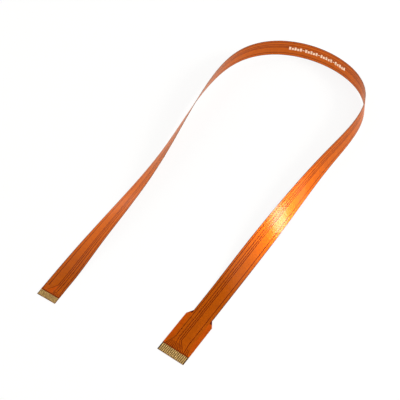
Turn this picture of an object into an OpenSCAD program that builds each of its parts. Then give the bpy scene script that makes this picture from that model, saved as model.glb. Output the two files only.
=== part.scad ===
// Flat flexible printed cable, in millimetres.
// Fifteen etched copper tracks lie between two amber polyimide films. One tail has 22
// contacts at 0.5 mm, the other has 15 contacts at 1 mm, and each has a stiffener under it.
// The strip lies on a table: both ends are flat with their contacts up, and between them it
// twists on to its edge and bends round in an open loop.

/* [Strip] */
// Length of the strip, tip to tip along its middle
strip_len = 500; // [485:1:530]
// Bare film left beside the outermost tracks
film_margin = 0.3; // [0.2:0.05:0.5]

/* [Narrow tail] */
// Distance between contacts on the narrow tail, which also sets the width of the strip
narrow_pitch = 0.5; // [0.48:0.01:0.6]
// Width of one contact on the narrow tail
narrow_contact_w = 0.3; // [0.2:0.01:0.38]
// Length of the narrow tail that the cover film leaves bare
narrow_bare_len = 3.5; // [2.5:0.1:4]
// Length of the stiffener under the narrow tail
narrow_stiffener_len = 8; // [6:0.5:10]

/* [Wide tail] */
// Distance between contacts on the wide tail, which also sets its width
wide_pitch = 1.0; // [0.9:0.01:1.25]
// Width of one contact on the wide tail
wide_contact_w = 0.6; // [0.4:0.05:0.75]
// Length of the wide tail that the cover film leaves bare
wide_bare_len = 4.5; // [3.5:0.1:6]
// Length of the stiffener under the wide tail
wide_stiffener_len = 10; // [8:0.5:20]
// Length of the wide part, from its tip to its shoulders
wide_part_len = 25; // [20:0.5:30]
// Length over which the strip widens at the shoulders
shoulder_len = 3.5; // [2:0.5:6]

/* [Layers] */
// Thickness of the base film
base_t = 0.06; // [0.05:0.01:0.1]
// Thickness of the copper tracks and contacts
copper_t = 0.04; // [0.03:0.01:0.06]
// Glue line between the copper and either film
glue_t = 0.05; // [0.05:0.01:0.07]
// Thickness of the cover film over the tracks
cover_t = 0.05; // [0.04:0.01:0.08]
// Thickness of a stiffener
stiffener_t = 0.15; // [0.1:0.01:0.25]

/* [Tracks] */
// Width of the ground track along the first edge
guard_w = 0.7; // [0.5:0.05:0.9]
// Width of a signal track
signal_w = 0.22; // [0.15:0.01:0.26]
// Width of a supply track along the other edge
supply_w = 0.43; // [0.3:0.01:0.5]
// Gap between the tracks of one group
track_gap = 0.1; // [0.08:0.01:0.13]
// Gap between two groups of tracks
group_gap = 0.35; // [0.25:0.01:0.4]
// Bare film between the end of a contact and the tip of the strip
tip_gap = 0.2; // [0.1:0.05:0.4]
// Length of a contact that stays covered, behind the edge of the cover film
contact_under = 1; // [0.5:0.1:1.5]
// Length over which the tracks spread out to the wide tail's contacts
fan_len = 5; // [4:0.5:8]

/* [Hidden] */
film = [0.80, 0.38, 0.06];
film_dark = [0.66, 0.30, 0.06];
copper = [0.80, 0.52, 0.26];
gold = [0.85, 0.66, 0.36];

// Route of the strip's middle as it lies, one row a point: x, y, the height of the strip's
// lower edge over the table, and the roll from lying flat (0) to standing on edge (90).
ROUTE = [
    [-32.5, -114, 0, 0],
    [-33, -104, 0, 0],
    [-33.5, -94, 0, 0],
    [-34, -81.5, 0, 9],
    [-34.5, -68.5, 0, 19],
    [-35, -47, 0, 28],
    [-36, -19.5, 0, 43],
    [-39, 5.5, 0.5, 59],
    [-43.5, 32.5, 2.5, 67],
    [-47, 59.5, 3, 75],
    [-45.5, 85, 2.5, 85],
    [-31, 105.5, 1, 92],
    [-6.5, 115.5, 0, 95],
    [20, 113, 0, 92],
    [39, 98.5, 1, 87],
    [44, 75, 1.5, 80],
    [41.5, 49, 0.5, 71],
    [40.5, 22.5, 0, 56],
    [40.5, -4, 0, 38],
    [40, -29, 0, 17],
    [40, -54, 0, 0],
    [40, -79, 0, 0],
    [40, -104, 0, 0],
    [40, -129, 0, 0],
    [40, -154, 0, 0]
];

// The 15 tracks from the strip's first edge to the other: the narrow tail's contact that
// the track ends in, its width (0 takes what the others leave) and the gap before it.
TRACKS = [
    [1, guard_w, 0],
    [2, signal_w, group_gap],
    [3, signal_w, track_gap],
    [4, signal_w, track_gap],
    [5, signal_w, track_gap],
    [6, signal_w, track_gap],
    [7, signal_w, group_gap],
    [8, signal_w, track_gap],
    [9, signal_w, track_gap],
    [10, signal_w, group_gap],
    [17, signal_w, track_gap],
    [18, 0, group_gap],
    [20, supply_w, group_gap],
    [21, supply_w, track_gap],
    [22, supply_w, track_gap]
];
wide_ways = len(TRACKS);
narrow_ways = 22;
// Contacts of the narrow tail that no track reaches
SPARES = [11, 12, 13, 14, 15, 16, 19];

// Both tails keep half a pitch more than their contacts on each side.
strip_w = (narrow_ways + 1) * narrow_pitch;
wide_w = (wide_ways + 1) * wide_pitch;

// Heights in the laminate, over the underside of the base film
copper_low = base_t + glue_t;
copper_high = copper_low + copper_t;
cover_low = copper_high + glue_t;
cover_high = cover_low + cover_t;

// Distances along the strip from the narrow tip
straight_len = 10;
neck_at = strip_len - wide_part_len - shoulder_len;
shoulder_at = strip_len - wide_part_len;
wide_fan_end = strip_len - wide_bare_len - contact_under;

// Cross sections between the narrow tail and the neck
section_gap = 6.2;
section_count = round((neck_at - straight_len) / section_gap);
SECTIONS = [for (i = [0:section_count])
    straight_len + (neck_at - straight_len) * i / section_count];
film_columns = 6;
plane_columns = 2;

// Route: a smooth curve through the air above ROUTE's rows (uniform cubic B-spline)
last = len(ROUTE) - 1;
function row(i) =
    i < 0 ? 2 * ROUTE[0] - ROUTE[1]
    : i > last ? 2 * ROUTE[last] - ROUTE[last - 1]
    : ROUTE[i];
function spline(i, t) =
    (pow(1 - t, 3) * row(i - 1) + (3 * pow(t, 3) - 6 * t * t + 4) * row(i)
    + (1 + 3 * t + 3 * t * t - 3 * pow(t, 3)) * row(i + 1) + pow(t, 3) * row(i + 2)) / 6;
function route(u) = let (i = min(max(floor(u), 0), last - 1)) spline(i, u - i);

// The middle of the base film's underside: its lower edge keeps the route's height.
function middle(u) =
    let (r = route(u))
    [r.x, r.y, r[2] + stiffener_t * cos(r[3]) + strip_w / 2 * sin(r[3])];

// Length along the strip to each step of the route, so that a place is found by its length
STEPS_PER_ROW = 8;
POINTS = [for (i = [0:last * STEPS_PER_ROW]) middle(i / STEPS_PER_ROW)];
function add_up(v, i = 0, sum = 0) =
    i == len(v) ? [sum] : concat([sum], add_up(v, i + 1, sum + v[i]));
LENGTHS = add_up([for (i = [1:len(POINTS) - 1]) norm(POINTS[i] - POINTS[i - 1])]);
WHERE = [for (i = [0:len(LENGTHS) - 1]) [LENGTHS[i], i / STEPS_PER_ROW]];

// Place and directions at a length along the strip: middle, along, across and up
function unit(v) = v / norm(v);
function frame_at(s) =
    let (
        u = lookup(s, WHERE),
        along = unit(middle(u + 0.01) - middle(u - 0.01)),
        level = unit([-along.y, along.x, 0]),
        rise = cross(along, level),
        roll = route(u)[3],
        across = cos(roll) * level - sin(roll) * rise
    )
    [middle(u), along, across, cross(along, across)];
function heading(s) = let (along = frame_at(s)[1]) atan2(along.y, along.x);

// One layer along the strip. Each row of path is a length along the strip and the two
// edges of the layer there, and the layer lies between the heights low and high.
module layer(path, low, high, columns = 1) {
    rings = len(path);
    points = [
        for (p = path)
            let (f = frame_at(p[0]))
            for (j = [0:columns], h = [low, high])
                f[0] + f[2] * (p[1] + (p[2] - p[1]) * j / columns) + f[3] * h
    ];
    function at(i, j, k) = (i * (columns + 1) + j) * 2 + k;
    top_and_bottom = [
        for (i = [0:rings - 2], j = [0:columns - 1])
            let (a = [at(i, j, 0), at(i + 1, j, 0), at(i + 1, j + 1, 0), at(i, j + 1, 0)])
            each [
                [a[0], a[2], a[3]],
                [a[0], a[1], a[2]],
                [a[0] + 1, a[3] + 1, a[2] + 1],
                [a[0] + 1, a[2] + 1, a[1] + 1]
            ]
    ];
    sides = [
        for (i = [0:rings - 2])
            let (
                a = [at(i, 0, 0), at(i, 0, 1), at(i + 1, 0, 1), at(i + 1, 0, 0)],
                b = [for (corner = a) corner + 2 * columns]
            )
            each [
                [a[0], a[1], a[2]],
                [a[0], a[2], a[3]],
                [b[0], b[3], b[2]],
                [b[0], b[2], b[1]]
            ]
    ];
    ends = [
        for (j = [0:columns - 1])
            each [
                [at(0, j, 0), at(0, j + 1, 0), at(0, j + 1, 1), at(0, j, 1)],
                [at(rings - 1, j, 0), at(rings - 1, j, 1), at(rings - 1, j + 1, 1), at(rings - 1, j + 1, 0)]
            ]
    ];
    polyhedron(points, concat(top_and_bottom, sides, ends));
}

// Outline of a film between two lengths: the strip, its shoulders and the wide part
function film_path(from, to) = concat(
    [[from, -strip_w / 2, strip_w / 2]],
    [for (s = SECTIONS) [s, -strip_w / 2, strip_w / 2]],
    [[shoulder_at, -wide_w / 2, wide_w / 2]],
    [[to, -wide_w / 2, wide_w / 2]]
);

// Where the tracks lie across the strip, counted from its first edge
set_width = add_up([for (t = TRACKS) t[1] + t[2]])[wide_ways];
plane_w = strip_w - 2 * film_margin - set_width;
function track_w(k) = TRACKS[k - 1][1] > 0 ? TRACKS[k - 1][1] : plane_w;
function track_edge(k) =
    k == 1 ? film_margin - strip_w / 2 : track_edge(k - 1) + track_w(k - 1) + TRACKS[k - 1][2];
function narrow_place(c) = (c - (narrow_ways + 1) / 2) * narrow_pitch;
function wide_place(k) = (k - (wide_ways + 1) / 2) * wide_pitch;
function around(s, place, w) = [s, place - w / 2, place + w / 2];

function narrow_contact_path(c) = [
    around(tip_gap, narrow_place(c), narrow_contact_w),
    around(narrow_bare_len + contact_under, narrow_place(c), narrow_contact_w)
];
function track_path(k) = concat(
    narrow_contact_path(TRACKS[k - 1][0]),
    [for (s = concat(SECTIONS, [wide_fan_end - fan_len]))
        [s, track_edge(k), track_edge(k) + track_w(k)]],
    [around(wide_fan_end, wide_place(k), wide_contact_w)],
    [around(strip_len - tip_gap, wide_place(k), wide_contact_w)]
);

// Base film: the carrier of the whole strip, cut to its outline
module base_film() {
    color(film_dark) layer(film_path(0, strip_len), 0, base_t, film_columns);
}

// Cover film: the same outline, cut back at both ends to leave the contacts bare
module cover_film() {
    color(film)
        layer(film_path(narrow_bare_len, strip_len - wide_bare_len), cover_low, cover_high, film_columns);
}

// One track with a contact at each end, etched from the copper as a single piece
module conductor(k) {
    color(k == 1 || k > 11 ? copper : gold)
        layer(track_path(k), copper_low, copper_high, track_w(k) > 1 ? plane_columns : 1);
}

// Contact of the narrow tail that ends just behind the edge of the cover film
module spare_contact(c) {
    color(gold) layer(narrow_contact_path(c), copper_low, copper_high);
}

// Stiffener glued under a tail, on the side away from the contacts
module stiffener(s, length, width, from) {
    color(film_dark)
        translate(frame_at(s)[0])
            rotate([0, 0, heading(s)])
                translate([from, -width / 2, -stiffener_t])
                    cube([length, width, stiffener_t]);
}
module narrow_stiffener() {
    stiffener(0, narrow_stiffener_len, strip_w, 0);
}
module wide_stiffener() {
    stiffener(strip_len, wide_stiffener_len, wide_w, -wide_stiffener_len);
}

base_film();
cover_film();
narrow_stiffener();
wide_stiffener();
for (k = [1:wide_ways]) {
    conductor(k);
}
for (c = SPARES) {
    spare_contact(c);
}
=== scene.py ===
import math

import bpy
import numpy as np
from mathutils import Matrix, Vector


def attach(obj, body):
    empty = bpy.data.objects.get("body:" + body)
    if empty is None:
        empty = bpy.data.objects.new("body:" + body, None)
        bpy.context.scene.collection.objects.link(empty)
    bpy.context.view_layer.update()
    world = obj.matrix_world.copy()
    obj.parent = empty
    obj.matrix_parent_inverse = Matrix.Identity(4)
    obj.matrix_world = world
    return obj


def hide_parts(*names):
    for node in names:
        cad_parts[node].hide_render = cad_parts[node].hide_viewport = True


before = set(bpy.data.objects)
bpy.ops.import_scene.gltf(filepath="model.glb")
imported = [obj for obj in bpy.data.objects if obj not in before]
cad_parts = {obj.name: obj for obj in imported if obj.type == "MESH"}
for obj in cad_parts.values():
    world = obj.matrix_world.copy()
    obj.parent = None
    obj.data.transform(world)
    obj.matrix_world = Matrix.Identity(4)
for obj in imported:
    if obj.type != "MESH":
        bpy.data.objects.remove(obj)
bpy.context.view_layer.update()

# ---------------------------------------------------------------- Camera
# A long lens looks down over the two tails towards the bend, so that both arms show the
# face with the contacts and the bend shows the printed back.
camera_heading = math.radians(125.09)
camera_fall = math.radians(53.57)
camera_distance = 0.53919
camera_target = Vector((-0.00372, -0.01589, 0))
camera_lens = 86.93

ahead = Vector((
    math.cos(camera_heading) * math.cos(camera_fall),
    math.sin(camera_heading) * math.cos(camera_fall),
    -math.sin(camera_fall),
))
right = Vector((math.sin(camera_heading), -math.cos(camera_heading), 0))
above = right.cross(ahead)

camera = bpy.data.objects.new("camera", bpy.data.cameras.new("camera"))
camera.data.sensor_width = 36
camera.data.lens = camera_lens
camera.data.clip_start = 0.01
camera.data.clip_end = 20
camera.matrix_world = Matrix.Translation(camera_target - ahead * camera_distance) @ Matrix((
    (right.x, above.x, -ahead.x, 0),
    (right.y, above.y, -ahead.y, 0),
    (right.z, above.z, -ahead.z, 0),
    (0, 0, 0, 1),
))
bpy.context.scene.collection.objects.link(camera)
bpy.context.scene.camera = camera
bpy.context.scene.view_settings.view_transform = "Standard"

# ---------------------------------------------------------------- Base film
# The carrier of the cable: one strip of amber polyimide with its glue, 11.5 mm wide and cut to
# 16 mm at the wide tail. Its course as it lies is settled here, since every layer is laid on
# it, and so is the tracks' course, since the copper shines through the film from behind.
route = np.array([
    (-0.0325, -0.1140, 0.0000, 0),
    (-0.0330, -0.1040, 0.0000, 0),
    (-0.0335, -0.0940, 0.0000, 0),
    (-0.0340, -0.0815, 0.0000, 9),
    (-0.0345, -0.0685, 0.0000, 19),
    (-0.0350, -0.0470, 0.0000, 28),
    (-0.0360, -0.0195, 0.0000, 43),
    (-0.0390, 0.0055, 0.0005, 59),
    (-0.0435, 0.0325, 0.0025, 67),
    (-0.0470, 0.0595, 0.0030, 75),
    (-0.0455, 0.0850, 0.0025, 85),
    (-0.0310, 0.1055, 0.0010, 92),
    (-0.0065, 0.1155, 0.0000, 95),
    (0.0200, 0.1130, 0.0000, 92),
    (0.0390, 0.0985, 0.0010, 87),
    (0.0440, 0.0750, 0.0015, 80),
    (0.0415, 0.0490, 0.0005, 71),
    (0.0405, 0.0225, 0.0000, 56),
    (0.0405, -0.0040, 0.0000, 38),
    (0.0400, -0.0290, 0.0000, 17),
    (0.0400, -0.0540, 0.0000, 0),
    (0.0400, -0.0790, 0.0000, 0),
    (0.0400, -0.1040, 0.0000, 0),
    (0.0400, -0.1290, 0.0000, 0),
    (0.0400, -0.1540, 0.0000, 0),
])
strip_len = 0.500
strip_w = 0.0115
wide_w = 0.016
shoulder_at = 0.475
neck_at = 0.4715
straight_len = 0.010
stiffener_t = 0.00015
narrow_bare_len = 0.0035
wide_bare_len = 0.0045

steps_per_row = 8
last_row = len(route) - 1
held_rows = np.vstack([2 * route[0] - route[1], route, 2 * route[-1] - route[-2]])


def on_route(u):
    """Place, lift and roll on the smooth curve through the air above the route's rows."""
    i = np.clip(np.floor(u).astype(int), 0, last_row - 1)
    t = (u - i)[:, None]
    return (
        (1 - t) ** 3 * held_rows[i]
        + (3 * t ** 3 - 6 * t ** 2 + 4) * held_rows[i + 1]
        + (1 + 3 * t + 3 * t ** 2 - 3 * t ** 3) * held_rows[i + 2]
        + t ** 3 * held_rows[i + 3]
    ) / 6


def middle(u):
    """The middle of the strip's underside."""
    r = on_route(u)
    roll = np.radians(r[:, 3])
    height = r[:, 2] + stiffener_t * np.cos(roll) + strip_w / 2 * np.sin(roll)
    return np.column_stack([r[:, 0], r[:, 1], height])


steps = np.arange(last_row * steps_per_row + 1) / steps_per_row
stretches = np.linalg.norm(np.diff(middle(steps), axis=0), axis=1)
lengths = np.concatenate([[0], np.cumsum(stretches)])


def unit(v):
    return v / np.linalg.norm(v, axis=1, keepdims=True)


def lay(s):
    """Middle, along, across and up at each distance s from the narrow tip."""
    u = np.interp(s, lengths, steps)
    along = unit(middle(u + 0.01) - middle(u - 0.01))
    level = unit(np.column_stack([-along[:, 1], along[:, 0], 0 * u]))
    rise = np.cross(along, level)
    roll = np.radians(on_route(u)[:, 3])[:, None]
    across = np.cos(roll) * level - np.sin(roll) * rise
    return middle(u), along, across, np.cross(along, across)


def sweep(name, s, outline, finish, finishes):
    """A closed solid laid along the strip. outline holds, for each distance in s, its points
    (across, height): first along the top, then back along the underside. finish says which of
    finishes the face that follows each point takes. The two ends take the first."""
    centre, along, across, up = lay(s)
    points = (
        centre[:, None]
        + across[:, None] * outline[:, :, :1]
        + up[:, None] * outline[:, :, 1:]
    )
    rings, count = outline.shape[:2]
    i, j = np.meshgrid(np.arange(rings - 1), np.arange(count), indexing="ij")
    k = (j + 1) % count
    corners = [i * count + j, (i + 1) * count + j, (i + 1) * count + k, i * count + k]
    sides = np.stack(corners, -1)
    caps = [list(range(count)), list(range(rings * count - 1, (rings - 1) * count - 1, -1))]
    mesh = bpy.data.meshes.new(name)
    mesh.from_pydata(points.reshape(-1, 3).tolist(), [], sides.reshape(-1, 4).tolist() + caps)
    for material in finishes:
        mesh.materials.append(material)
    chosen = np.broadcast_to(finish, (rings - 1, count)).reshape(-1)
    with_caps = np.concatenate([chosen, [0, 0]]).astype(np.int32)
    mesh.polygons.foreach_set("material_index", with_caps)
    mesh.polygons.foreach_set("use_smooth", np.ones(len(mesh.polygons), bool))
    mesh.set_sharp_from_angle(angle=math.radians(50))
    places = (("along", np.repeat(s, count)), ("across", outline[:, :, 0].reshape(-1)))
    for title, values in places:
        attribute = mesh.attributes.new(title, "FLOAT", "POINT")
        attribute.data.foreach_set("value", values.astype(np.float32))
    mesh.update()
    piece = bpy.data.objects.new(name, mesh)
    bpy.context.scene.collection.objects.link(piece)
    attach(piece, "root")
    return piece


narrow_pitch = 0.0005
narrow_contact_w = 0.0003
narrow_ways = 22
wide_pitch = 0.001
wide_contact_w = 0.0006
contact_under = 0.001
fan_len = 0.005
film_margin = 0.0003
guard_w, signal_w, supply_w = 0.0007, 0.00022, 0.00043
track_gap, group_gap = 0.0001, 0.00035
narrow_fan_start = narrow_bare_len + contact_under
wide_fan_end = strip_len - wide_bare_len - contact_under
wide_fan_start = wide_fan_end - fan_len

# Each track's contact on the narrow tail, its width (0 takes what the others leave) and the
# gap before it
tracks = [
    (1, guard_w, 0),
    (2, signal_w, group_gap),
    (3, signal_w, track_gap),
    (4, signal_w, track_gap),
    (5, signal_w, track_gap),
    (6, signal_w, track_gap),
    (7, signal_w, group_gap),
    (8, signal_w, track_gap),
    (9, signal_w, track_gap),
    (10, signal_w, group_gap),
    (17, signal_w, track_gap),
    (18, 0, group_gap),
    (20, supply_w, group_gap),
    (21, supply_w, track_gap),
    (22, supply_w, track_gap),
]
wide_ways = len(tracks)
plane_w = strip_w - 2 * film_margin - sum(width + gap for _, width, gap in tracks)


def stations(start, end, step=0.002):
    """Distances from start to end, with one at each place where an outline turns."""
    even = np.linspace(start, end, round((end - start) / step) + 1)
    places = (
        narrow_fan_start, straight_len, neck_at, shoulder_at, wide_fan_start, wide_fan_end,
    )
    turns = [t for t in places if start < t < end]
    clear = [x for x in even if all(abs(x - t) > step / 3 for t in turns)]
    return np.array(sorted(set(clear) | {start, end} | set(turns)))


def half_width(s):
    """Half the strip's width, with its shoulders."""
    return np.interp(s, [neck_at, shoulder_at], [strip_w / 2, wide_w / 2])


def track_edges(k, s):
    """The two edges of track k (from 0) at each distance in s."""
    first = film_margin - strip_w / 2
    for _, width, gap in tracks[:k]:
        first += gap + (width or plane_w)
    first += tracks[k][2]
    narrow = (tracks[k][0] - (narrow_ways + 1) / 2) * narrow_pitch
    wide = (k + 1 - (wide_ways + 1) / 2) * wide_pitch
    turns = [narrow_fan_start, straight_len, wide_fan_start, wide_fan_end]
    low = [narrow - narrow_contact_w / 2, first, first, wide - wide_contact_w / 2]
    high = [narrow + narrow_contact_w / 2, first + (tracks[k][1] or plane_w)]
    high += [high[1], wide + wide_contact_w / 2]
    return np.interp(s, turns, low), np.interp(s, turns, high)


def across_film(s):
    """Where the film changes between its first and its second edge: that edge, then the two
    edges of each track in turn, then the other edge."""
    w = half_width(s)
    return [-w] + [edge for k in range(wide_ways) for edge in track_edges(k, s)] + [w]


# The places of the film's finishes in ambers
cut, on_copper, on_gap, on_fine, on_plain, uncovered = range(6)
fine_gap = 0.0002
plain_gap = 0.0006


def behind_gap(low, high):
    """The finish of the film behind each gap between tracks, by the gap's width."""
    width = (high - low)[:-1]
    return np.where(width > plain_gap, on_plain, np.where(width > fine_gap, on_gap, on_fine))


def film(name, colour, deep, metal, gloss, rough, coat_rough=0.20):
    """Amber film over copper: a warm metal glow under a smooth clear surface, with the faint
    clouds of the glue line and the fine grain of the film."""
    m = bpy.data.materials.new(name)
    m.use_nodes = True
    t = m.node_tree
    shader = t.nodes["Principled BSDF"]
    place = t.nodes.new("ShaderNodeTexCoord")
    clouds = t.nodes.new("ShaderNodeTexNoise")
    clouds.inputs["Scale"].default_value = 260
    clouds.inputs["Detail"].default_value = 3
    grain = t.nodes.new("ShaderNodeTexNoise")
    grain.inputs["Scale"].default_value = 2600
    grain.inputs["Detail"].default_value = 2
    both = t.nodes.new("ShaderNodeMix")
    both.inputs["Factor"].default_value = 0.35
    tone = t.nodes.new("ShaderNodeValToRGB")
    tone.color_ramp.elements[0].position = 0.32
    tone.color_ramp.elements[0].color = (*deep, 1)
    tone.color_ramp.elements[1].position = 0.68
    tone.color_ramp.elements[1].color = (*colour, 1)
    haze = t.nodes.new("ShaderNodeMapRange")
    haze.inputs["To Min"].default_value = rough - 0.06
    haze.inputs["To Max"].default_value = rough + 0.06
    relief = t.nodes.new("ShaderNodeBump")
    relief.inputs["Strength"].default_value = 0.04
    relief.inputs["Distance"].default_value = 0.00002
    for a, b in (
        (place.outputs["Object"], clouds.inputs["Vector"]),
        (place.outputs["Object"], grain.inputs["Vector"]),
        (clouds.outputs["Fac"], both.inputs["A"]),
        (grain.outputs["Fac"], both.inputs["B"]),
        (both.outputs["Result"], tone.inputs["Fac"]),
        (both.outputs["Result"], haze.inputs["Value"]),
        (grain.outputs["Fac"], relief.inputs["Height"]),
        (tone.outputs["Color"], shader.inputs["Base Color"]),
        (haze.outputs["Result"], shader.inputs["Roughness"]),
        (relief.outputs["Normal"], shader.inputs["Normal"]),
    ):
        t.links.new(a, b)
    shader.inputs["Metallic"].default_value = metal
    shader.inputs["Specular IOR Level"].default_value = 0.05
    shader.inputs["Specular Tint"].default_value = (1, 0.82, 0.60, 1)
    shader.inputs["Coat Weight"].default_value = gloss
    shader.inputs["Coat Roughness"].default_value = coat_rough
    shader.inputs["Coat IOR"].default_value = 1.5
    return m


base_low = 0.0
base_high = 0.00011
cut_edge = film(
    "cut_edge", (0.22, 0.070, 0.012), (0.16, 0.045, 0.008), 0.0, 0.2, 0.5,
)
amber_copper = film(
    "amber_copper", (0.57, 0.112, 0.0008), (0.49, 0.092, 0.0005), 0.9, 0.27, 0.48,
)
amber_gap = film(
    "amber_gap", (0.17, 0.013, 0.0004), (0.13, 0.010, 0.0003), 0.7, 0.24, 0.50,
)
amber_fine = film(
    "amber_fine", (0.54, 0.104, 0.0008), (0.46, 0.085, 0.0005), 0.88, 0.27, 0.48,
)
amber_plain = film(
    "amber_plain", (0.61, 0.098, 0.0007), (0.53, 0.081, 0.0005), 0.85, 0.24, 0.50,
)
bare_base = film(
    "bare_base", (0.075, 0.042, 0.010), (0.05, 0.028, 0.007), 0.0, 0.25, 0.4,
)
ambers = [cut_edge, amber_copper, amber_gap, amber_fine, amber_plain, bare_base]

s = stations(0, strip_len)
turns = across_film(s)[::-1]
points = [(turns[-1], base_high), (turns[0], base_high)] + [(v, base_low) for v in turns]
faces = [uncovered, cut]
for j in range(len(turns) - 1):
    faces.append(on_copper if j % 2 else behind_gap(turns[j + 1], turns[j]))
faces.append(cut)
outline = np.stack([np.stack([v, 0 * v + h], -1) for v, h in points], 1)
finish = np.stack([np.broadcast_to(face, len(s) - 1) for face in faces], 1)
base_film = sweep("film_base", s, outline, finish, ambers)
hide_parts("base_film")

# ---------------------------------------------------------------- Tracks and their contacts
# Fifteen tracks etched from one copper foil: a ground track at the first edge, ten signal
# tracks, a broad plane and three supply tracks. Each ends in a contact at either tail, and
# the bare contacts are plated with gold.
copper_low = 0.00011
copper_high = 0.00015
tip_gap = 0.0002
foil_ease = 0.00001
close = 1e-6


def foil_outline(low, high):
    """A strip of foil with the slightly rounded upper corners that etching leaves."""
    rows = (
        (low, copper_high - foil_ease), (low + foil_ease, copper_high),
        (high - foil_ease, copper_high), (high, copper_high - foil_ease),
        (high, copper_low), (low, copper_low),
    )
    return np.stack([np.stack([v, 0 * v + h], -1) for v, h in rows], 1)


def metal(name, colour, deep, rough, scale):
    """Plated or bare foil, brushed along the tail by handling."""
    m = bpy.data.materials.new(name)
    m.use_nodes = True
    t = m.node_tree
    shader = t.nodes["Principled BSDF"]
    along = t.nodes.new("ShaderNodeAttribute")
    along.attribute_name = "along"
    across = t.nodes.new("ShaderNodeAttribute")
    across.attribute_name = "across"
    place = t.nodes.new("ShaderNodeCombineXYZ")
    stretch = t.nodes.new("ShaderNodeVectorMath")
    stretch.operation = "MULTIPLY"
    stretch.inputs[1].default_value = (1, 12, 1)
    scuffs = t.nodes.new("ShaderNodeTexNoise")
    scuffs.inputs["Scale"].default_value = scale
    scuffs.inputs["Detail"].default_value = 4
    tone = t.nodes.new("ShaderNodeValToRGB")
    tone.color_ramp.elements[0].position = 0.30
    tone.color_ramp.elements[0].color = (*deep, 1)
    tone.color_ramp.elements[1].position = 0.62
    tone.color_ramp.elements[1].color = (*colour, 1)
    haze = t.nodes.new("ShaderNodeMapRange")
    haze.inputs["To Min"].default_value = rough + 0.08
    haze.inputs["To Max"].default_value = rough - 0.08
    for a, b in (
        (along.outputs["Fac"], place.inputs["X"]),
        (across.outputs["Fac"], place.inputs["Y"]),
        (place.outputs["Vector"], stretch.inputs[0]),
        (stretch.outputs["Vector"], scuffs.inputs["Vector"]),
        (scuffs.outputs["Fac"], tone.inputs["Fac"]),
        (scuffs.outputs["Fac"], haze.inputs["Value"]),
        (tone.outputs["Color"], shader.inputs["Base Color"]),
        (haze.outputs["Result"], shader.inputs["Roughness"]),
    ):
        t.links.new(a, b)
    shader.inputs["Metallic"].default_value = 0.75
    return m


gold_plate = metal("gold_plate", (0.56, 0.36, 0.13), (0.38, 0.23, 0.08), 0.36, 900)
foil_copper = metal("foil_copper", (0.60, 0.24, 0.10), (0.45, 0.16, 0.07), 0.40, 900)

s = stations(tip_gap, strip_len - tip_gap)
s = np.array(sorted(set(s) | {narrow_bare_len, strip_len - wide_bare_len}))
bare = (s[:-1] < narrow_bare_len) | (s[:-1] >= strip_len - wide_bare_len - close)
for k in range(wide_ways):
    piece = sweep(
        f"track_{k + 1}", s, foil_outline(*track_edges(k, s)),
        np.where(bare, 0, 1)[:, None] + np.zeros(6, int), [gold_plate, foil_copper],
    )
    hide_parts(f"conductor_{k + 1}")

# ---------------------------------------------------------------- Spare contacts
# Seven contacts of the narrow tail that no track reaches. They are of the same plated foil
# and end just behind the edge of the cover film.
spare_numbers = (11, 12, 13, 14, 15, 16, 19)
s = np.array([tip_gap, narrow_bare_len, narrow_fan_start])
for number in spare_numbers:
    place = (number - (narrow_ways + 1) / 2) * narrow_pitch + 0 * s
    strip = foil_outline(place - narrow_contact_w / 2, place + narrow_contact_w / 2)
    piece = sweep(f"spare_{number}", s, strip, np.zeros(6, int), [gold_plate])
    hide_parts(f"spare_contact_{number}")

# ---------------------------------------------------------------- Cover film
# A second amber film, bonded over the tracks and cut back at both tails. It has sunk a
# little between the tracks, so each track shows as a faint ridge, and its last 0.6 mm at
# each cut end is coloured a darker red-brown.
cover_low = 0.00012
cover_high = 0.00025
sink = 0.000002
ease = 0.000025
end_band_len = 0.0006
# A darker red-brown for the top of the cover's last 0.6 mm at each cut end.
cover_end_band = film(
    "cover_end_band", (0.26, 0.036, 0.0010), (0.20, 0.026, 0.0008), 0.7, 0.15, 0.50,
)

s = stations(narrow_bare_len, strip_len - wide_bare_len)
s = np.array(sorted(set(s) | {s[0] + end_band_len, s[-1] - end_band_len}))
turns = across_film(s)
gaps = [behind_gap(turns[j], turns[j + 1]) for j in range(0, len(turns), 2)]
points = [(turns[0], cover_high - sink)]
faces = [gaps[0]]
for k in range(wide_ways):
    low, high = turns[2 * k + 1], turns[2 * k + 2]
    points += [
        (low - ease, cover_high - sink), (low, cover_high - sink / 4), (low + ease, cover_high),
        (high - ease, cover_high), (high, cover_high - sink / 4), (high + ease, cover_high - sink),
    ]
    faces += [gaps[k], on_copper, on_copper, on_copper, gaps[k + 1], gaps[k + 1]]
points += [(turns[-1], cover_high - sink), (turns[-1], cover_low), (turns[0], cover_low)]
faces += [cut, on_copper, cut]
outline = np.stack([np.stack([v, 0 * v + h], -1) for v, h in points], 1)
finish = np.stack([np.broadcast_to(face, len(s) - 1) for face in faces], 1).copy()
# The top faces within 0.6 mm of either cut end take the darker red-brown.
in_end_band = (s[:-1] < s[0] + end_band_len - close) | (s[1:] > s[-1] - end_band_len + close)
finish[in_end_band, :len(faces) - 3] = len(ambers)
cover_film = sweep("film_cover", s, outline, finish, [*ambers, cover_end_band])
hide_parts("cover_film")

# ---------------------------------------------------------------- Stiffeners
# A plate of thicker polyimide glued under each tail, so that it slides straight into its
# socket. Both keep their plain die-cut outline.
stiffener_film = film(
    "stiffener_film", (0.42, 0.130, 0.020), (0.33, 0.095, 0.014), 0.0, 0.3, 0.45,
)
for name in ("narrow_stiffener", "wide_stiffener"):
    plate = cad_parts[name]
    plate.data.materials.clear()
    plate.data.materials.append(stiffener_film)

# ---------------------------------------------------------------- Printed marks
# One line of white ink, screened on the back of the strip at the bend: four equal groups of
# plain bars of two heights, with a dash between each two groups.
ink_low = -0.00002
ink_high = 0.00001
mark_start = 0.2315
mark_foot = -0.00085
group_count = 4
bars_in_group = 5
bar_len = 0.00125
bar_heights = (0.0023, 0.0017)
dash_len = 0.0012
dash_height = 0.0005
dash_lift = 0.0009
mark_gap = 0.00045

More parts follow.
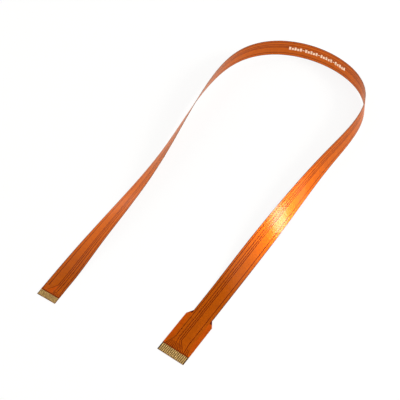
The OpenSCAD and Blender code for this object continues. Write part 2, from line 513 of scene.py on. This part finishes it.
white_ink = bpy.data.materials.new("white_ink")
white_ink.use_nodes = True
ink = white_ink.node_tree
ink_shader = ink.nodes["Principled BSDF"]
ink_cover = ink.nodes.new("ShaderNodeTexNoise")
ink_cover.inputs["Scale"].default_value = 6000
ink_place = ink.nodes.new("ShaderNodeTexCoord")
ink_tone = ink.nodes.new("ShaderNodeValToRGB")
ink_tone.color_ramp.elements[0].position = 0.25
ink_tone.color_ramp.elements[0].color = (0.80, 0.42, 0.22, 1)
ink_tone.color_ramp.elements[1].position = 0.50
ink_tone.color_ramp.elements[1].color = (0.92, 0.70, 0.52, 1)
ink.links.new(ink_place.outputs["Object"], ink_cover.inputs["Vector"])
ink.links.new(ink_cover.outputs["Fac"], ink_tone.inputs["Fac"])
ink.links.new(ink_tone.outputs["Color"], ink_shader.inputs["Base Color"])
ink_shader.inputs["Roughness"].default_value = 0.5

marks = []
at = mark_start
for g in range(group_count):
    group = [(bar_len, 0, bar_heights[n % 2]) for n in range(bars_in_group)]
    if g:
        group.insert(0, (dash_len, dash_lift, dash_height))
    for length, lift_up, height in group:
        s = np.linspace(at, at + length, 3)
        foot = -mark_foot - lift_up
        top = foot - height
        corners = ((top, ink_high), (foot, ink_high), (foot, ink_low), (top, ink_low))
        outline = np.stack([np.stack([0 * s + v, 0 * s + h], -1) for v, h in corners], 1)
        marks.append(sweep(f"mark_{len(marks) + 1}", s, outline, np.zeros(4, int), [white_ink]))
        at += length + mark_gap
with bpy.context.temp_override(active_object=marks[0], selected_editable_objects=marks):
    bpy.ops.object.join()
printed_marks = marks[0]
printed_marks.name = "printed_marks"

# ---------------------------------------------------------------- Table, light and air
# A plain white table under the cable. A small bright lamp gives the highlight and four broad
# soft boxes light the rest, in a room that is pale at table height and dim overhead. The table
# looks white where it is seen or reflected, and keeps the cable's shadow.
table_mesh = bpy.data.meshes.new("table")
reach = 3.0
table_z = -0.00004
white_share = 0.88
table_corners = ((-reach, -reach), (reach, -reach), (reach, reach), (-reach, reach))
table_mesh.from_pydata([(x, y, table_z) for x, y in table_corners], [], [(0, 1, 2, 3)])
table = bpy.data.objects.new("table", table_mesh)
bpy.context.scene.collection.objects.link(table)

table_white = bpy.data.materials.new("table_white")
table_white.use_nodes = True
t = table_white.node_tree
table_shader = t.nodes["Principled BSDF"]
table_shader.inputs["Base Color"].default_value = (0.93, 0.93, 0.93, 1)
table_shader.inputs["Roughness"].default_value = 0.9
table_shader.inputs["Specular IOR Level"].default_value = 0
seen = t.nodes.new("ShaderNodeLightPath")
lift = t.nodes.new("ShaderNodeEmission")
lift.inputs["Color"].default_value = (1, 1, 1, 1)
either = t.nodes.new("ShaderNodeMath")
either.operation = "MAXIMUM"
any_of_three = t.nodes.new("ShaderNodeMath")
any_of_three.operation = "MAXIMUM"
share = t.nodes.new("ShaderNodeMath")
share.operation = "MULTIPLY"
share.inputs[1].default_value = white_share
paper = t.nodes.new("ShaderNodeMixShader")
t.links.new(seen.outputs["Is Camera Ray"], either.inputs[0])
t.links.new(seen.outputs["Is Glossy Ray"], either.inputs[1])
t.links.new(either.outputs["Value"], any_of_three.inputs[0])
t.links.new(seen.outputs["Is Transmission Ray"], any_of_three.inputs[1])
t.links.new(any_of_three.outputs["Value"], share.inputs[0])
t.links.new(share.outputs["Value"], paper.inputs[0])
t.links.new(table_shader.outputs["BSDF"], paper.inputs[1])
t.links.new(lift.outputs["Emission"], paper.inputs[2])
t.links.new(paper.outputs["Shader"], t.nodes["Material Output"].inputs["Surface"])
table_mesh.materials.append(table_white)

lamp_aim = Vector((0.0405, -0.004, 0.006))
# Each lamp's name, its direction from the cable, its distance, its width and its brightness
lamps = (
    ("small_lamp", (0.740, 0.430, 0.510), 0.9, 0.26, 38),
    ("soft_box_right", (0.42, 0.52, 0.74), 1.5, 2.2, 1.65),
    ("soft_box_left", (-0.850, 0.135, 0.509), 1.5, 1.8, 1.12),
    ("soft_box_front", (-0.35, -0.93, 0.12), 1.5, 1.2, 6.0),
    ("soft_box_side", (0.83, 0.55, 0.10), 1.5, 1.0, 2.2),
)
lamp_glow = (1, 0.97, 0.91)
for name, way, distance, width, brightness in lamps:
    way = Vector(way).normalized()
    lamp = bpy.data.objects.new(name, bpy.data.lights.new(name, "AREA"))
    lamp.data.shape = "DISK"
    lamp.data.size = width
    lamp.data.color = lamp_glow
    lamp.data.energy = brightness * math.pi ** 2 * (width / 2) ** 2
    lamp.location = lamp_aim + way * distance
    lamp.rotation_mode = "QUATERNION"
    lamp.rotation_quaternion = (-way).to_track_quat("-Z", "Y")
    bpy.context.scene.collection.objects.link(lamp)

room = bpy.data.worlds.new("room")
bpy.context.scene.world = room
room.use_nodes = True
t = room.node_tree
sky = t.nodes["Background"]
sky.inputs["Color"].default_value = (1, 1, 1, 1)
way = t.nodes.new("ShaderNodeTexCoord")
height = t.nodes.new("ShaderNodeSeparateXYZ")
level = t.nodes.new("ShaderNodeMapRange")
level.interpolation_type = "SMOOTHSTEP"
level.inputs["From Min"].default_value = 0.0
level.inputs["From Max"].default_value = 0.30
level.inputs["To Min"].default_value = 2.4
level.inputs["To Max"].default_value = 0.08
t.links.new(way.outputs["Generated"], height.inputs["Vector"])
t.links.new(height.outputs["Z"], level.inputs["Value"])
t.links.new(level.outputs["Result"], sky.inputs["Strength"])
